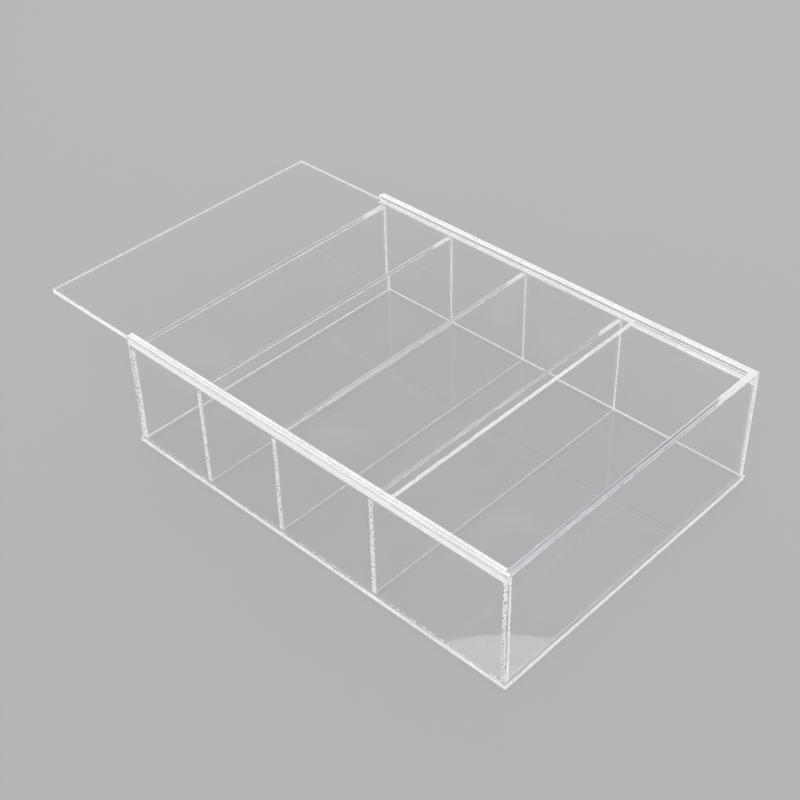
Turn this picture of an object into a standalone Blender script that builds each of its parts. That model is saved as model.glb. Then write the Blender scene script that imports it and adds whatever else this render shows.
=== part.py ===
"""A clear acrylic box with four compartments and a lid that slides in grooves.

Units are metres and +Z is up. The origin is the centre of the base panel's underside. +X runs
along the box, from the low end wall that the lid passes over to the tall end wall that stops it.
The near long wall is on the -Y side and the far long wall on the +Y side.

Thirteen flat pieces are cut from sheet and cemented edge to face. Only the lid is loose.
"""

import bmesh
import bpy
from mathutils import Matrix

# Outside of the four walls, and the height from the table to the rim.
BOX_LENGTH = 0.270
BOX_WIDTH = 0.200
BOX_HEIGHT = 0.074

# Sheet thicknesses.
BASE_THICKNESS = 0.003
LONG_WALL_THICKNESS = 0.002
END_WALL_THICKNESS = 0.004
DIVIDER_THICKNESS = 0.003
LID_THICKNESS = 0.003

# The base stands out past the walls by this much on every side.
BASE_LEDGE = 0.0008

# Inner lengths of the first three compartments, from the low end. The fourth takes the rest.
FIRST_COMPARTMENTS = (0.052, 0.0545, 0.065)

# A groove is the space between two narrow strips cemented inside a long wall. The upper strip is
# flush with the rim, and the lower one stands on the dividers.
RAIL_WIDTH = 0.0018
UPPER_RAIL_HEIGHT = 0.0026

# How far the tops of these pieces lie below the rim.
DIVIDER_DROP = 0.0081
LOW_END_WALL_DROP = 0.0094

# The lid, and how far its leading edge has gone in past the low end's outer face.
LID_LENGTH = 0.263
LID_WIDTH = 0.195
LID_INSERTED = 0.1922

# Clearance between pieces that touch, and the small chamfer on every cut edge.
GAP = 0.0003
ARRIS = 0.00025

COLLECTION_NAME = "sliding_lid_compartment_box"

# Values that follow from the ones above.
LOW_END = -BOX_LENGTH / 2
TALL_END = BOX_LENGTH / 2
SIDE = BOX_WIDTH / 2
WALL_BOTTOM = BASE_THICKNESS + GAP
INNER_SIDE = SIDE - LONG_WALL_THICKNESS
STOP_FACE = TALL_END - END_WALL_THICKNESS
UPPER_RAIL_BOTTOM = BOX_HEIGHT - UPPER_RAIL_HEIGHT
LID_TOP = UPPER_RAIL_BOTTOM - GAP
GROOVE_FLOOR = LID_TOP - LID_THICKNESS - GAP
DIVIDER_TOP = BOX_HEIGHT - DIVIDER_DROP


def clear_scene():
    for obj in list(bpy.data.objects):
        bpy.data.objects.remove(obj, do_unlink=True)


def new_collection(name):
    collection = bpy.data.collections.new(name)
    bpy.context.scene.collection.children.link(collection)
    return collection


def acrylic(name, colour, roughness, transmission):
    """Cast acrylic. A polished face is clear and a sawn edge scatters light and looks white."""
    material = bpy.data.materials.new(name)
    material.use_nodes = True
    shader = material.node_tree.nodes["Principled BSDF"]
    shader.inputs["Base Color"].default_value = (*colour, 1.0)
    shader.inputs["Roughness"].default_value = roughness
    shader.inputs["Metallic"].default_value = 0.0
    shader.inputs["IOR"].default_value = 1.49
    shader.inputs["Transmission Weight"].default_value = transmission
    return material


def panel(collection, name, low, high, material):
    """A flat piece between two opposite corners, with its origin at its centre."""
    size = [high[axis] - low[axis] for axis in range(3)]
    centre = [(high[axis] + low[axis]) / 2 for axis in range(3)]
    shape = bmesh.new()
    bmesh.ops.create_cube(shape, size=1.0, matrix=Matrix.Diagonal((*size, 1.0)))
    mesh = bpy.data.meshes.new(name)
    shape.to_mesh(mesh)
    shape.free()
    mesh.materials.append(material)
    obj = bpy.data.objects.new(name, mesh)
    obj.location = centre
    collection.objects.link(obj)
    chamfer = obj.modifiers.new("arris", "BEVEL")
    chamfer.width = ARRIS
    chamfer.segments = 1
    chamfer.limit_method = "NONE"
    return obj


def build_base(collection):
    clear = acrylic("base_acrylic", (0.93, 0.95, 0.95), 0.04, 1.0)
    low = (LOW_END - BASE_LEDGE, -SIDE - BASE_LEDGE, 0.0)
    high = (TALL_END + BASE_LEDGE, SIDE + BASE_LEDGE, BASE_THICKNESS)
    panel(collection, "base_panel", low, high, clear)


def build_long_walls(collection):
    """Each long wall runs the whole length and covers the ends of the end walls."""
    clear = acrylic("long_wall_acrylic", (0.95, 0.97, 0.97), 0.03, 1.0)
    for name, inner, outer in (
        ("near_long_wall", -INNER_SIDE, -SIDE),
        ("far_long_wall", INNER_SIDE, SIDE),
    ):
        low = (LOW_END, min(inner, outer), WALL_BOTTOM)
        high = (TALL_END, max(inner, outer), BOX_HEIGHT)
        panel(collection, name, low, high, clear)


def cross_panel(collection, name, start, thickness, top, material):
    """A panel that stands across the box between the two long walls."""
    side = INNER_SIDE - GAP
    panel(collection, name, (start, -side, WALL_BOTTOM), (start + thickness, side, top), material)


def build_end_walls(collection):
    clear = acrylic("end_wall_acrylic", (0.92, 0.95, 0.96), 0.04, 1.0)
    low_top = BOX_HEIGHT - LOW_END_WALL_DROP
    cross_panel(collection, "low_end_wall", LOW_END, END_WALL_THICKNESS, low_top, clear)
    cross_panel(collection, "tall_end_wall", STOP_FACE, END_WALL_THICKNESS, BOX_HEIGHT, clear)


def build_dividers(collection):
    clear = acrylic("divider_acrylic", (0.94, 0.96, 0.96), 0.04, 1.0)
    start = LOW_END + END_WALL_THICKNESS
    for number, length in enumerate(FIRST_COMPARTMENTS, 1):
        start += length
        cross_panel(collection, f"divider_{number}", start, DIVIDER_THICKNESS, DIVIDER_TOP, clear)
        start += DIVIDER_THICKNESS


def build_rails(collection):
    """Four narrow strips. The lid slides between the upper and the lower one on each side."""
    sawn = acrylic("rail_acrylic", (0.96, 0.97, 0.97), 0.35, 0.5)
    outer = INNER_SIDE - GAP
    inner = outer - RAIL_WIDTH
    for level, bottom, top in (
        ("upper", UPPER_RAIL_BOTTOM, BOX_HEIGHT),
        ("lower", DIVIDER_TOP + GAP, GROOVE_FLOOR),
    ):
        for name, side in (("near", -1), ("far", 1)):
            edges = sorted((side * inner, side * outer))
            low = (LOW_END, edges[0], bottom)
            high = (STOP_FACE - GAP, edges[1], top)
            panel(collection, f"{name}_{level}_rail", low, high, sawn)


def build_lid(collection):
    """The lid lies part of the way in, and slides along X through its own centre."""
    clear = acrylic("lid_acrylic", (0.96, 0.97, 0.97), 0.03, 1.0)
    leading = LOW_END + LID_INSERTED
    low = (leading - LID_LENGTH, -LID_WIDTH / 2, LID_TOP - LID_THICKNESS)
    high = (leading, LID_WIDTH / 2, LID_TOP)
    panel(collection, "sliding_lid", low, high, clear)


def main():
    clear_scene()
    collection = new_collection(COLLECTION_NAME)
    build_base(collection)
    build_long_walls(collection)
    build_end_walls(collection)
    build_dividers(collection)
    build_rails(collection)
    build_lid(collection)


main()
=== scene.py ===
"""Looks of the clear acrylic compartment box: sawn edges, polished faces, cement seams, floor and light.

Everything is in metres in the CAD frame: +X towards the tall end wall, +Y towards the far long wall.
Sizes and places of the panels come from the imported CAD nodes.
"""

import math
import random

import bmesh
import bpy
from mathutils import Matrix, Quaternion, Vector


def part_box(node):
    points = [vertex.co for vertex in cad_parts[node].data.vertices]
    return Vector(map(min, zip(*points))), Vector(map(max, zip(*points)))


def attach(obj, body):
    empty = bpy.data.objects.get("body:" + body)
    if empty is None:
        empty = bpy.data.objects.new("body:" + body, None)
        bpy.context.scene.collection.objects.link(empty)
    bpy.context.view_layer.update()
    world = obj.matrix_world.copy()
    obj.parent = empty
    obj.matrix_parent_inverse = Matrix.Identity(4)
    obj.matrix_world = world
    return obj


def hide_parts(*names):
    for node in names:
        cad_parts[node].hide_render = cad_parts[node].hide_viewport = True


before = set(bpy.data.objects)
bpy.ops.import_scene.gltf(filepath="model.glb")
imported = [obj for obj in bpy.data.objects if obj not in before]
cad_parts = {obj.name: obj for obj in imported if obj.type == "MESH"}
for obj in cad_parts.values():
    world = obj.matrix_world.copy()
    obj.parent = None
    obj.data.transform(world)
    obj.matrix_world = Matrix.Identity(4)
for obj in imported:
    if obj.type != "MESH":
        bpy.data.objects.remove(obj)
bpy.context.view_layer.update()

X, Y, Z = range(3)

# Panels that stand across the box, in order from the low end, and the strips along its sides.
CROSS_PANELS = ("low_end_wall", "divider_1", "divider_2", "divider_3", "tall_end_wall")
LONG_WALLS = ("near_long_wall", "far_long_wall")
RAILS = ("near_upper_rail", "far_upper_rail", "near_lower_rail", "far_lower_rail")

ACRYLIC_IOR = 1.49

# Width of a broken arris, on the panels and on the narrow rails.
ARRIS = 0.00025
RAIL_ARRIS = 0.00015

# The CAD panels stand 0.3 mm apart. Cemented sides are drawn this much further out, which leaves a seam
# too thin to see. The lower rails keep their clearance above the dividers.
JOIN = 0.00028

# How near a face's normal is to an axis, for the face to count as flat and not as part of an arris.
FLAT = 0.99
# How far down an arris's normal points, for the arris to count as an underside.
FACES_DOWN = -0.1

# Each panel's edge coordinates start this many times the sum of its centre's coordinates along, so that
# no two panels have the same marks.
RUN_SPREAD = 40.0

# The far groove's back is clear down to this far under the upper rail and hazed below that. The near
# one is hazed all the way up. Cement that ran unevenly is assumed.
FAR_WETTED = 0.0024

# Camera: where it stands round the box, its tilt, the point it looks at, its distance and its lens.
AZIMUTH, ELEVATION, ROLL = map(math.radians, (44.38, 38.69, -1.45))
AIM = Vector((-0.0255, -0.0019, 0.030))
DISTANCE = 0.827
LENS_MM = 67.05
SENSOR_MM = 36.0
CLIP_START = 0.01

# The floor is a wide disc just under the base.
FLOOR_RADIUS = 60.0
FLOOR_SEGMENTS = 128
FLOOR_DROP = 0.0002
FLOOR_GREY = (0.385, 0.387, 0.39, 1.0)

SOFTBOX_SIZE = 0.7
SOFTBOX_POWER = 1.8
SOFTBOX_PLACE = Vector((-0.334, 0.52, 1.20))

# Name, strength and place of each fill light, and how wide a part of the sky each covers.
FILLS = (
    ("front_fill", 3.2, (2.1, -2.2, 1.8)),
    ("back_fill", 1.5, (-2.1, 2.2, 0.9)),
)
FILL_SPREAD = math.radians(70)

SURROUND_COLOUR = (0.98, 0.99, 1.0, 1.0)
SURROUND_STRENGTH = 0.48

# Sight lines cross up to eight clear panels, which is more bounces than Blender allows by default.
CLEAR_BOUNCES = 24
TRANSPARENT_BOUNCES = 32

# Bubbles in the cement: their radius, how far they are drawn out along the seam, their half thickness,
# how many there are in a seam, and how far the upright seams' bubbles keep from the seam's ends.
BUBBLE_RADII = (0.00010, 0.00028)
BUBBLE_STRETCH = (1.0, 3.0)
BUBBLE_THICKNESS = 0.00008
BUBBLES_UP_A_PANEL = 46
BUBBLES_UNDER_A_PANEL = 60
BUBBLES_UNDER_A_WALL = 170
SEAM_MARGIN = 0.001
BUBBLE_SEED = 8


# ---------------------------------------------------------------- camera, floor and light


def make_camera():
    """The camera stands off the corner of the near wall and the tall end, and looks down at the box."""
    back = Vector(
        (
            math.sin(AZIMUTH) * math.cos(ELEVATION),
            -math.cos(AZIMUTH) * math.cos(ELEVATION),
            math.sin(ELEVATION),
        )
    )
    data = bpy.data.cameras.new("camera")
    data.lens = LENS_MM
    data.sensor_width = SENSOR_MM
    data.clip_start = CLIP_START
    camera = bpy.data.objects.new("camera", data)
    camera.rotation_mode = "QUATERNION"
    camera.rotation_quaternion = (-back).to_track_quat("-Z", "Y") @ Quaternion((0, 0, 1), ROLL)
    camera.location = AIM + back * DISTANCE
    bpy.context.scene.collection.objects.link(camera)
    bpy.context.scene.camera = camera


def make_floor():
    mesh = bpy.data.meshes.new("studio_floor")
    shape = bmesh.new()
    bmesh.ops.create_circle(shape, cap_ends=True, radius=FLOOR_RADIUS, segments=FLOOR_SEGMENTS)
    shape.to_mesh(mesh)
    shape.free()
    floor = bpy.data.objects.new("studio_floor", mesh)
    floor.location = (0.0, 0.0, -FLOOR_DROP)
    bpy.context.scene.collection.objects.link(floor)
    mat, shader = new_material("studio_floor")
    shader.inputs["Base Color"].default_value = FLOOR_GREY
    shader.inputs["Roughness"].default_value = 0.9
    shader.inputs["Specular IOR Level"].default_value = 0.1
    mesh.materials.append(mat)


def aim_light(name, data, location, aim):
    light = bpy.data.objects.new(name, data)
    light.location = location
    light.rotation_mode = "QUATERNION"
    light.rotation_quaternion = (Vector(aim) - Vector(location)).to_track_quat("-Z", "Y")
    bpy.context.scene.collection.objects.link(light)
    return light


def make_softbox():
    """A round softbox behind the low end. The base mirrors its edge at the tall end."""
    data = bpy.data.lights.new("softbox", "AREA")
    data.shape = "DISK"
    data.size = SOFTBOX_SIZE
    data.energy = SOFTBOX_POWER
    aim_light("softbox", data, SOFTBOX_PLACE, (SOFTBOX_PLACE.x, SOFTBOX_PLACE.y, 0.0))


def make_fills():
    """Broad even light from the front right and a weaker, lower one from the back left.

    Both are hidden from mirror reflections.
    """
    for name, energy, location in FILLS:
        data = bpy.data.lights.new(name, "SUN")
        data.angle = FILL_SPREAD
        data.energy = energy
        fill = aim_light(name, data, location, (0.0, 0.0, 0.0))
        fill.visible_glossy = False
        fill.visible_transmission = False


def make_surround():
    world = bpy.data.worlds.new("surround")
    world.use_nodes = True
    background = world.node_tree.nodes["Background"]
    background.inputs["Color"].default_value = SURROUND_COLOUR
    background.inputs["Strength"].default_value = SURROUND_STRENGTH
    bpy.context.scene.world = world


def set_light_paths():
    scene = bpy.context.scene
    scene.view_settings.view_transform = "Standard"
    scene.cycles.max_bounces = CLEAR_BOUNCES
    scene.cycles.transmission_bounces = CLEAR_BOUNCES
    scene.cycles.transparent_max_bounces = TRANSPARENT_BOUNCES


# ---------------------------------------------------------------- material tools


def new_material(name):
    mat = bpy.data.materials.new(name)
    mat.use_nodes = True
    return mat, mat.node_tree.nodes["Principled BSDF"]


def add(mat, kind, inputs=(), **settings):
    """A new shader node. inputs gives each socket, by name or number, a value or another node's output."""
    node = mat.node_tree.nodes.new("ShaderNode" + kind)
    for name, value in settings.items():
        setattr(node, name, value)
    for socket, value in dict(inputs).items():
        if isinstance(value, bpy.types.NodeSocket):
            mat.node_tree.links.new(value, node.inputs[socket])
        else:
            node.inputs[socket].default_value = value
    return node


def maths(mat, operation, first, second=0.0):
    return add(mat, "Math", {0: first, 1: second}, operation=operation).outputs[0]


def edge_run(mat):
    """(distance along an edge, distance across it), in metres, from the mesh's own edge coordinates."""
    where = add(mat, "UVMap", uv_map="edge_run")
    parts = add(mat, "SeparateXYZ", {0: where.outputs[0]})
    return parts.outputs[0], parts.outputs[1]


def edge_plane(mat, along, across, along_per_m, across_per_m):
    """Edge coordinates counted in features: how many a metre holds along and across the edge."""
    place = add(
        mat,
        "CombineXYZ",
        {0: maths(mat, "MULTIPLY", along, along_per_m), 1: maths(mat, "MULTIPLY", across, across_per_m)},
    )
    return place.outputs[0]


def streaks(mat, along, across, along_per_m, across_per_m, detail=2.0):
    """Noise drawn out into streaks along the edge, or left round if both counts are the same."""
    place = edge_plane(mat, along, across, along_per_m, across_per_m)
    noise = add(mat, "TexNoise", {"Vector": place, "Scale": 1.0, "Detail": detail}, noise_dimensions="2D")
    return noise.outputs[0]


def between(mat, value, low, high, to_low=0.0, to_high=1.0):
    """value taken from the range low to high and mapped to the range to_low to to_high, and held there."""
    return add(
        mat,
        "MapRange",
        {"Value": value, "From Min": low, "From Max": high, "To Min": to_low, "To Max": to_high},
    ).outputs[0]


def blend_colours(mat, factor, first, second):
    mix = add(mat, "Mix", {0: factor, 6: (*first, 1.0), 7: (*second, 1.0)}, data_type="RGBA")
    return mix.outputs[2]


def mix_shaders(mat, factor, first, second):
    return add(mat, "MixShader", {0: factor, 1: first, 2: second}).outputs[0]


def finish_material(mat, surface, lamp_tint):
    """Lamps and bounced light pass straight through, tinted by this grey, so the box isn't dark inside."""
    path = add(mat, "LightPath")
    lit = maths(mat, "MAXIMUM", path.outputs["Is Shadow Ray"], path.outputs["Is Diffuse Ray"])
    clear = add(mat, "BsdfTransparent", {"Color": (lamp_tint, lamp_tint, lamp_tint, 1.0)})
    mixed = mix_shaders(mat, lit, surface, clear.outputs[0])
    mat.node_tree.links.new(mixed, mat.node_tree.nodes["Material Output"].inputs["Surface"])
    return mat


def clear_shader(shader, roughness):
    shader.inputs["Base Color"].default_value = (1.0, 1.0, 1.0, 1.0)
    shader.inputs["Roughness"].default_value = roughness
    shader.inputs["IOR"].default_value = ACRYLIC_IOR
    shader.inputs["Transmission Weight"].default_value = 1.0
    return shader.outputs[0]


def joined_shader(mat):
    """Where the cement took, light goes straight on into the next panel."""
    return add(mat, "BsdfTransparent", {"Color": (0.99, 0.99, 0.99, 1.0)}).outputs[0]


def frost(mat, colour, roughness, normal=None, let_through=0.15):
    """A frosted skin: it scatters light back and also lets some of it through."""
    inputs = {"Roughness": roughness, "Specular IOR Level": 0.5}
    front = add(mat, "BsdfPrincipled", inputs)
    through = add(mat, "BsdfTranslucent")
    for node, socket in ((front, "Base Color"), (through, "Color")):
        mat.node_tree.links.new(colour, node.inputs[socket])
        if normal is not None:
            mat.node_tree.links.new(normal, node.inputs["Normal"])
    return mix_shaders(mat, let_through, front.outputs[0], through.outputs[0])


# ---------------------------------------------------------------- acrylic materials


def polished_face(name):
    """A clear polished face with a little handling wear: specks of dust, faint smears, hair scratches."""
    mat, shader = new_material(name)
    clear = clear_shader(shader, roughness=0.0)
    place = add(mat, "TexCoord").outputs["Object"]
    wear = maths(mat, "MAXIMUM", smears(mat, place), dust(mat, place))
    wear = maths(mat, "MAXIMUM", wear, hair_scratches(mat))
    white = add(mat, "BsdfDiffuse", {"Color": (0.95, 0.95, 0.95, 1.0)})
    return finish_material(mat, mix_shaders(mat, wear, clear, white.outputs[0]), lamp_tint=0.98)


def smears(mat, place):
    """Faint cloudy patches, as fingers leave."""
    clouds = add(mat, "TexNoise", {"Vector": place, "Scale": 22.0, "Detail": 3.0}).outputs[0]
    return between(mat, clouds, low=0.60, high=0.80, to_high=0.03)


def dust(mat, place):
    """A small round speck in one cell in ten."""
    cells = add(mat, "TexVoronoi", {"Vector": place, "Scale": 60.0, "Randomness": 1.0})
    draw = add(mat, "SeparateColor", {0: cells.outputs["Color"]}).outputs[0]
    chosen = between(mat, draw, low=0.90, high=0.91)
    specks = between(mat, cells.outputs["Distance"], low=0.010, high=0.020, to_low=0.8, to_high=0.0)
    return maths(mat, "MULTIPLY", specks, chosen)


def hair_scratches(mat):
    """Sparse, thin, straight scratches that cross each other at a low angle."""
    along, across = edge_run(mat)
    found = 0.0
    for slope in (0.35, -0.2):
        drawn_up = maths(mat, "ADD", across, maths(mat, "MULTIPLY", along, slope))
        noise = streaks(mat, along, drawn_up, along_per_m=9.0, across_per_m=2600.0, detail=0.0)
        line = between(mat, noise, low=0.88, high=0.91, to_high=0.06)
        found = maths(mat, "MAXIMUM", found, line)
    return found


def sawn_edge(name, dark, light, marks_per_m):
    """A sawn edge: white, matt, with saw marks almost straight across its width."""
    lean, fine_ratio, coarse_share = 0.2, 2.6, 0.6
    mat, _ = new_material(name)
    along, across = edge_run(mat)
    slanted = maths(mat, "ADD", along, maths(mat, "MULTIPLY", across, lean))
    coarse = streaks(mat, slanted, across, along_per_m=marks_per_m, across_per_m=60.0, detail=1.0)
    fine = streaks(mat, slanted, across, along_per_m=marks_per_m * fine_ratio, across_per_m=200.0, detail=1.0)
    marks = maths(
        mat,
        "ADD",
        maths(mat, "MULTIPLY", coarse, coarse_share),
        maths(mat, "MULTIPLY", fine, 1.0 - coarse_share),
    )
    patches = streaks(mat, along, across, along_per_m=30.0, across_per_m=120.0)
    level = maths(
        mat,
        "ADD",
        between(mat, marks, low=0.35, high=0.62, to_high=0.75),
        between(mat, patches, low=0.35, high=0.65, to_high=0.25),
    )
    bump = add(mat, "Bump", {"Strength": 0.25, "Distance": 0.0001, "Height": marks})
    surface = frost(mat, blend_colours(mat, level, dark, light), roughness=0.45, normal=bump.outputs[0])
    return finish_material(mat, surface, lamp_tint=0.86)


def scraped_edge(name, haze_low, haze_high, cool=(0.76, 0.82, 0.88)):
    """An edge scraped smooth: half clear, with long fine streaks in cooler and warmer white."""
    warm = (0.99, 0.97, 0.94)
    mat, shader = new_material(name)
    along, across = edge_run(mat)
    lines = streaks(mat, along, across, along_per_m=4.0, across_per_m=1700.0)
    bands = streaks(mat, along, across, along_per_m=2.0, across_per_m=500.0, detail=0.0)
    dashes = streaks(mat, along, across, along_per_m=90.0, across_per_m=2200.0, detail=1.0)
    haze = maths(
        mat,
        "ADD",
        between(mat, lines, low=0.36, high=0.64, to_low=haze_low, to_high=haze_high),
        between(mat, dashes, low=0.58, high=0.68, to_high=0.12),
    )
    shade = between(mat, bands, low=0.40, high=0.60)
    white = frost(mat, blend_colours(mat, shade, cool, warm), roughness=0.35)
    clear = clear_shader(shader, roughness=0.15)
    return finish_material(mat, mix_shaders(mat, haze, clear, white), lamp_tint=0.90)


def seam_edge(name, haze_low, haze_high):
    """A long edge wetted by cement along its whole run: clear, with a faint even haze."""
    cool, warm = (0.84, 0.85, 0.86), (0.99, 0.97, 0.93)
    mat, _ = new_material(name)
    along, across = edge_run(mat)
    lines = streaks(mat, along, across, along_per_m=12.0, across_per_m=900.0)
    haze = between(mat, lines, low=0.35, high=0.65, to_low=haze_low, to_high=haze_high)
    white = frost(mat, blend_colours(mat, lines, cool, warm), roughness=0.4)
    return finish_material(mat, mix_shaders(mat, haze, joined_shader(mat), white), lamp_tint=0.94)


def dashed_seam_edge(name):
    """A long edge that the cement reached unevenly: white dashes on a clear ground."""
    cool, warm = (0.82, 0.86, 0.90), (1.0, 0.98, 0.94)
    mat, _ = new_material(name)
    along, across = edge_run(mat)
    dashes = streaks(mat, along, across, along_per_m=500.0, across_per_m=300.0)
    stretches = streaks(mat, along, across, along_per_m=14.0, across_per_m=1.0, detail=1.0)
    haze = maths(
        mat,
        "MULTIPLY",
        between(mat, dashes, low=0.46, high=0.56, to_low=0.15),
        between(mat, stretches, low=0.30, high=0.55, to_low=0.45),
    )
    white = frost(mat, blend_colours(mat, dashes, cool, warm), roughness=0.4)
    return finish_material(mat, mix_shaders(mat, haze, joined_shader(mat), white), lamp_tint=0.92)


def butted_end(name):
    """The sawn end of a panel under cement: white and uneven, with tiny clear specks and painted glints,
    coloured specks that stand in for sparkle of light.
    """
    grey, warm = (0.56, 0.58, 0.60), (1.0, 1.0, 0.98)
    # The second number is how strongly the painted glints, coloured noise standing in for sparkle, tint the
    # white.
    specks_per_m, painted_glint_strength = 750.0, 0.85
    mat, _ = new_material(name)
    along, across = edge_run(mat)
    grain = streaks(mat, along, across, along_per_m=800.0, across_per_m=800.0)
    lines = streaks(mat, along, across, along_per_m=10.0, across_per_m=1000.0, detail=1.0)
    level = maths(
        mat,
        "ADD",
        between(mat, grain, low=0.35, high=0.62, to_high=0.55),
        between(mat, lines, low=0.35, high=0.62, to_high=0.45),
    )
    plain = blend_colours(mat, level, grey, warm)
    place = edge_plane(mat, along, across, specks_per_m, specks_per_m)
    # Painted glints: blue and orange noise soft-lit into the colour in place of sparkle and fringes of light.
    painted_glints = add(mat, "TexNoise", {"Vector": place, "Scale": 1.0, "Detail": 1.0})
    colour = add(
        mat,
        "Mix",
        {0: painted_glint_strength, 6: plain, 7: painted_glints.outputs["Color"]},
        data_type="RGBA",
        blend_type="SOFT_LIGHT",
    )
    pits = streaks(mat, along, across, along_per_m=specks_per_m, across_per_m=1000.0, detail=0.0)
    haze = between(mat, pits, low=0.26, high=0.34, to_low=0.15)
    white = frost(mat, colour.outputs[2], roughness=0.4)
    return finish_material(mat, mix_shaders(mat, haze, joined_shader(mat), white), lamp_tint=0.92)


def arris_edge(name, haze_low, haze_high):
    """The narrow broken corner between a face and an edge: a bright line if frosted, a dark one if clear."""
    grey, white = (0.90, 0.90, 0.89), (1.0, 1.0, 0.99)
    mat, shader = new_material(name)
    along, across = edge_run(mat)
    nicks = streaks(mat, along, across, along_per_m=250.0, across_per_m=250.0)
    frosted = frost(mat, blend_colours(mat, nicks, grey, white), roughness=0.2)
    haze = between(mat, nicks, low=0.30, high=0.55, to_low=haze_low, to_high=haze_high)
    clear = clear_shader(shader, roughness=0.03)
    return finish_material(mat, mix_shaders(mat, haze, clear, frosted), lamp_tint=0.94)


def bubble_skin(name):
    """Air trapped in a seam: white and clear in a fine grain."""
    cool, warm = (0.80, 0.84, 0.90), (1.0, 0.99, 0.96)
    mat, shader = new_material(name)
    place = add(mat, "TexCoord").outputs["Object"]
    grain = add(mat, "TexNoise", {"Vector": place, "Scale": 900.0, "Detail": 1.0}).outputs[0]
    clear = clear_shader(shader, roughness=0.02)
    white = frost(mat, blend_colours(mat, grain, cool, warm), roughness=0.15)
    haze = between(mat, grain, low=0.35, high=0.65, to_low=0.35, to_high=0.85)
    return finish_material(mat, mix_shaders(mat, haze, clear, white), lamp_tint=0.9)


# ---------------------------------------------------------------- panels


def link_piece(name, shape, materials, body):
    mesh = bpy.data.meshes.new(name)
    shape.to_mesh(mesh)
    shape.free()
    for mat in materials:
        mesh.materials.append(mat)
    piece = bpy.data.objects.new(name, mesh)
    bpy.context.scene.collection.objects.link(piece)
    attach(piece, body)
    return piece


def main_axis(vector):
    return max((X, Y, Z), key=lambda axis: abs(vector[axis]))


def lay_edge_run(shape, thin, centre):
    """Edge coordinates in metres: how far along each edge face, and how far across it from the middle."""
    run = shape.loops.layers.uv.new("edge_run")
    start = RUN_SPREAD * sum(centre)
    for face in shape.faces:
        corners = [vert.co for vert in face.verts]
        spans = Vector(max(abs(a[i] - b[i]) for a in corners for b in corners) for i in (X, Y, Z))
        along = main_axis(spans)
        other = [axis for axis in (X, Y, Z) if axis not in (along, main_axis(face.normal))]
        across = thin if thin in other else other[0]
        for loop in face.loops:
            loop[run].uv = (start + loop.vert.co[along], loop.vert.co[across] - centre[across])


def face_material(normal, thin, kinds):
    """The material of one face of a panel, by the way it faces."""
    axis = main_axis(normal)
    if abs(normal[axis]) < FLAT:
        under = kinds.get("under_arris", kinds["arris"])
        return under if normal.z < FACES_DOWN else kinds["arris"]
    if axis == thin:
        return kinds["face"]
    way = "XYZ"[axis] if normal[axis] > 0 else "xyz"[axis]
    return kinds.get(way, kinds["edge"])


def panel(node, thin, kinds, body, joined="", arris_width=ARRIS):
    """One panel with broken arrises.

    A capital letter stands for the side that faces up its axis and a small one for the side that faces
    down. kinds gives the material of an edge by its side, and joined lists the sides that are cemented.
    Arrises that face down can have their own material.
    """
    low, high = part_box(node)
    for axis, (down, up) in enumerate(("xX", "yY", "zZ")):
        low[axis] -= JOIN * (down in joined)
        high[axis] += JOIN * (up in joined)
    centre = (low + high) / 2
    shape = bmesh.new()
    place = Matrix.Translation(centre) @ Matrix.Diagonal((*(high - low), 1.0))
    bmesh.ops.create_cube(shape, size=1.0, matrix=place)
    bmesh.ops.bevel(
        shape, geom=shape.edges[:], offset=arris_width, segments=2, profile=0.5, affect="EDGES"
    )
    lay_edge_run(shape, thin, centre)
    used = []
    for face in shape.faces:
        mat = face_material(face.normal, thin, kinds)
        if mat not in used:
            used.append(mat)
        face.material_index = used.index(mat)
    piece = link_piece(node + "_acrylic", shape, used, body)
    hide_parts(node)
    return piece


def haze_groove(wall, side, wetted, mat):
    """The strip of a long wall's inner face at the back of the lid's groove has its own material.

    wetted is how far under the upper rail the wall is left clear.
    """
    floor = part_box(side + "_lower_rail")[1].z
    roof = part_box(side + "_upper_rail")[0].z - wetted
    inward = 1 if side == "near" else -1
    shape = bmesh.new()
    shape.from_mesh(wall.data)
    for height in (floor, roof):
        everything = shape.verts[:] + shape.edges[:] + shape.faces[:]
        bmesh.ops.bisect_plane(shape, geom=everything, plane_co=(0, 0, height), plane_no=(0, 0, 1))
    wall.data.materials.append(mat)
    for face in shape.faces:
        if face.normal.y * inward > FLAT and floor < face.calc_center_median().z < roof:
            face.material_index = len(wall.data.materials) - 1
    shape.to_mesh(wall.data)
    shape.free()


def build_base(face, arris, edge):
    panel("base_panel", Z, {"face": face, "arris": arris, "edge": edge}, "box")


def build_long_walls(face, dark, bright, end, rim, seam):
    """The seam under the near wall took unevenly. The far wall's groove is wetted under its rail."""
    groove = scraped_edge("groove_back", haze_low=0.35, haze_high=1.0, cool=(0.93, 0.93, 0.92))
    dashed = dashed_seam_edge("dashed_seam")
    for side, arris, under, wetted in (("near", dark, dashed, 0.0), ("far", bright, seam, FAR_WETTED)):
        kinds = {"face": face, "arris": arris, "edge": end, "Z": rim, "z": under}
        wall = panel(side + "_long_wall", Y, kinds, "box", "z")
        haze_groove(wall, side, wetted, groove)


def build_rails(face, dark, bright, edge, seam):
    """The lower rails' undersides are clear."""
    for node in RAILS:
        wall_side = "y" if node.startswith("near") else "Y"
        kinds = {"face": face, "arris": bright, "edge": edge}
        if "lower" in node:
            kinds.update({"z": seam, "under_arris": dark})
        panel(node, Y, kinds, "box", wall_side + "X", RAIL_ARRIS)


def build_cross_panels(face, arris, seam):
    butt = butted_end("butted_end")
    top = scraped_edge("scraped_top", haze_low=0.30, haze_high=0.70)
    stop = scraped_edge("scraped_stop", haze_low=0.35, haze_high=0.75)
    for node in CROSS_PANELS:
        kinds = {"face": face, "arris": arris, "edge": butt, "z": seam, "Z": top}
        if node == "tall_end_wall":
            kinds["Z"] = stop
        panel(node, X, kinds, "box", "Yyz")


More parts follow.
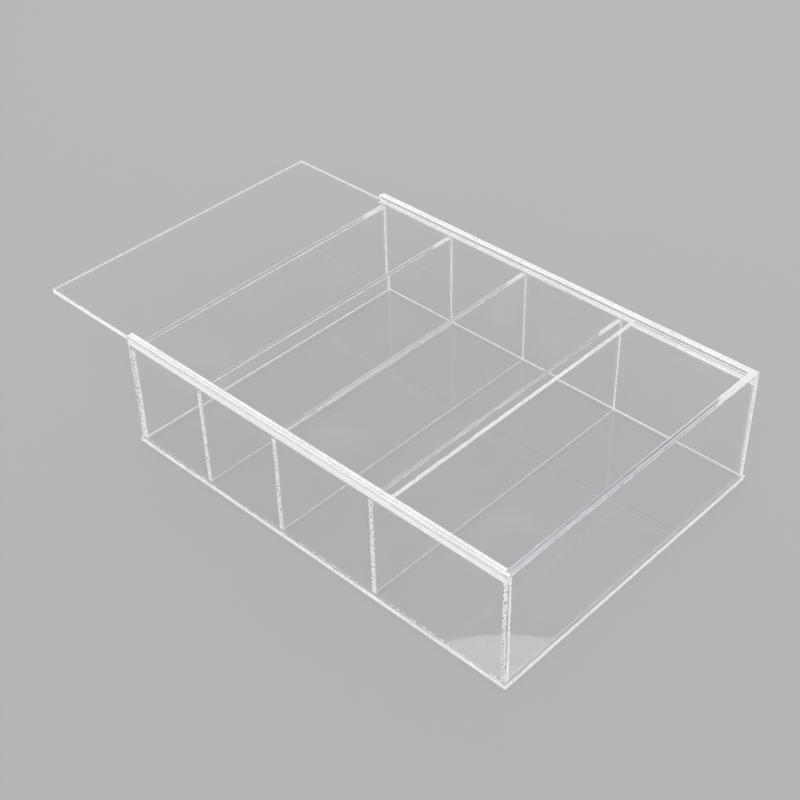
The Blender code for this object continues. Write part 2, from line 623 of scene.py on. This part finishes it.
def build_lid(face, arris, leading):
    side = sawn_edge("lid_side", dark=(0.80, 0.80, 0.79), light=(0.99, 0.98, 0.96), marks_per_m=500.0)
    trailing = scraped_edge("lid_end", haze_low=0.40, haze_high=0.65)
    kinds = {"face": face, "arris": arris, "edge": side, "X": leading, "x": trailing}
    panel("sliding_lid", Z, kinds, "lid")


def build_panels():
    face = polished_face("polished_face")
    bright = arris_edge("bright_arris", haze_low=0.35, haze_high=0.85)
    dark = arris_edge("clear_arris", haze_low=0.0, haze_high=0.10)
    base_edge = sawn_edge(
        "base_edge", dark=(0.58, 0.57, 0.55), light=(1.0, 0.985, 0.96), marks_per_m=750.0
    )
    rail_edge = sawn_edge(
        "rail_edge", dark=(0.62, 0.63, 0.64), light=(1.0, 1.0, 1.0), marks_per_m=950.0
    )
    seam = seam_edge("cemented_seam", haze_low=0.02, haze_high=0.14)
    build_base(face, bright, base_edge)
    build_long_walls(face, dark, bright, base_edge, rail_edge, seam)
    build_rails(face, dark, bright, rail_edge, seam)
    build_cross_panels(face, bright, seam)
    build_lid(face, bright, rail_edge)


# ---------------------------------------------------------------- cement


def bubbles(shape, start, end, flat, spread, count, draw):
    """Flattened bubbles strewn along a seam. flat is the way across the seam, spread half its width."""
    along = (end - start).normalized()
    wide = along.cross(flat)
    turn = Matrix((along, wide, flat)).transposed().to_4x4()
    for _ in range(count):
        at = start.lerp(end, draw.random()) + wide * spread * draw.uniform(-1, 1)
        radius = draw.uniform(*BUBBLE_RADII)
        stretch = draw.uniform(*BUBBLE_STRETCH)
        size = Matrix.Diagonal((radius * stretch, radius, BUBBLE_THICKNESS, 1.0))
        place = Matrix.Translation(at) @ turn @ size
        bmesh.ops.create_icosphere(shape, subdivisions=1, radius=1.0, matrix=place)


def build_bubbles(mat):
    """Bubbles in the seams under the cross panels and the walls, and at both ends of the cross panels."""
    draw = random.Random(BUBBLE_SEED)
    shape = bmesh.new()
    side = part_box("far_long_wall")[0].y
    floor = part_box("base_panel")[1].z
    half_gap = (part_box("divider_1")[0].z - floor) / 2
    seam_z = floor + half_gap
    for node in CROSS_PANELS:
        low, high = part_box(node)
        middle, spread = (low.x + high.x) / 2, (high.x - low.x) / 2 - ARRIS * 2
        for y in (-side + half_gap, side - half_gap):
            start = Vector((middle, y, low.z + SEAM_MARGIN))
            end = Vector((middle, y, high.z - SEAM_MARGIN))
            bubbles(shape, start, end, Vector((0, 1, 0)), spread, BUBBLES_UP_A_PANEL, draw)
        start, end = Vector((middle, low.y, seam_z)), Vector((middle, high.y, seam_z))
        bubbles(shape, start, end, Vector((0, 0, 1)), spread, BUBBLES_UNDER_A_PANEL, draw)
    for node in LONG_WALLS:
        low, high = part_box(node)
        middle, spread = (low.y + high.y) / 2, (high.y - low.y) / 2 - ARRIS * 2
        start, end = Vector((low.x, middle, seam_z)), Vector((high.x, middle, seam_z))
        bubbles(shape, start, end, Vector((0, 0, 1)), spread, BUBBLES_UNDER_A_WALL, draw)
    piece = link_piece("seam_bubbles", shape, [mat], "box")
    piece.data.shade_smooth()


# ---------------------------------------------------------------- the scene

make_camera()
make_floor()
make_softbox()
make_fills()
make_surround()
set_light_paths()
build_panels()
build_bubbles(bubble_skin("trapped_air"))
